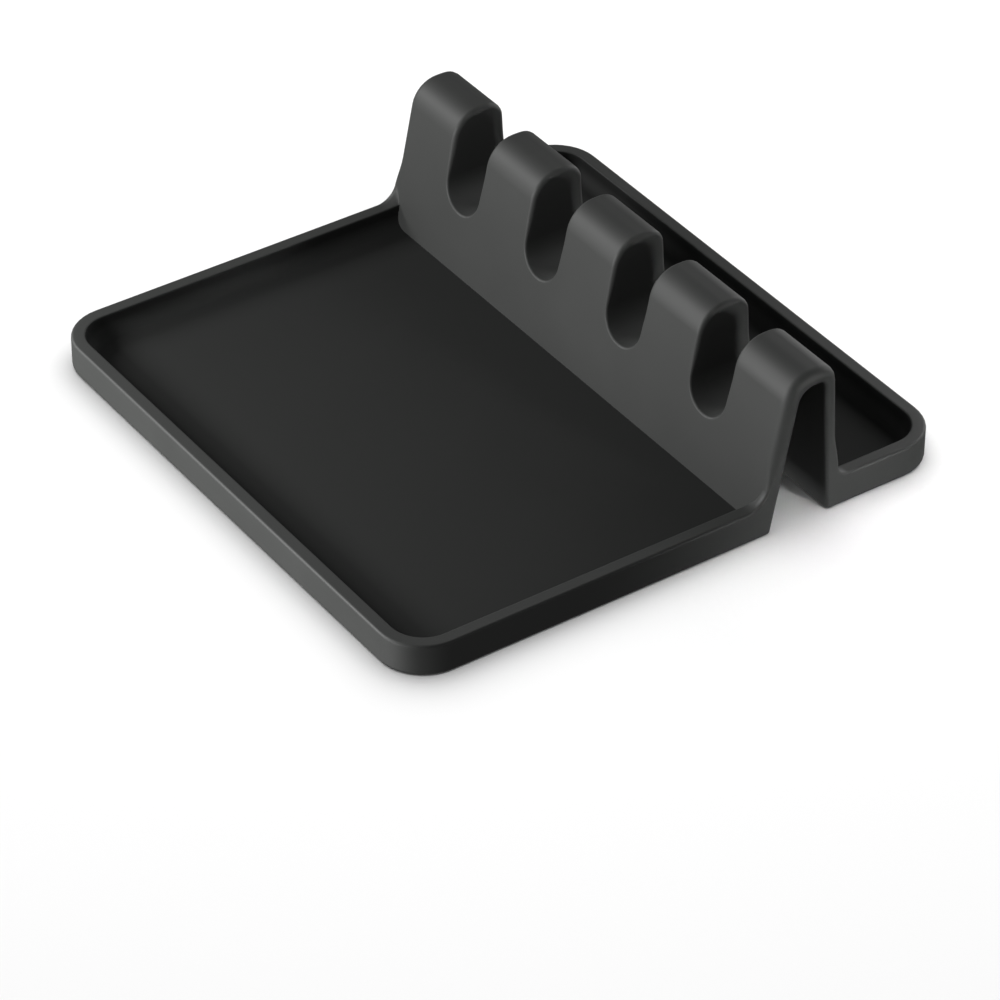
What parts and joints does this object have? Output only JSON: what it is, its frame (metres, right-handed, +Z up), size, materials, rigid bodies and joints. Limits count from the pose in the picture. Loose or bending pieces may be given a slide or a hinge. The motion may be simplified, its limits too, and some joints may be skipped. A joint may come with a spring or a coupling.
{
  "type": "utensil rest",
  "caption": "Low moulded silicone rest: a large front drip tray, a slotted hollow ridge that holds utensil handles apart, and a small rear drip tray.",
  "frame": {"origin": "on the table, at the middle of the footprint", "axes": "+X along the ridge, +Y from the large front tray to the small rear tray, +Z up"},
  "size_m": [0.155, 0.152, 0.0415],
  "materials": {
    "silicone": "matte moulded black silicone rubber"
  },
  "bodies": {
    "root": {"front_tray": "silicone", "rear_tray": "silicone", "ridge_front_wall": "silicone", "ridge_back_wall": "silicone", "slot_saddle_1": "silicone", "slot_saddle_2": "silicone", "slot_saddle_3": "silicone", "slot_saddle_4": "silicone", "finger_1": "silicone", "finger_2": "silicone", "finger_3": "silicone", "finger_4": "silicone", "finger_5": "silicone"}
  },
  "joints": []
}
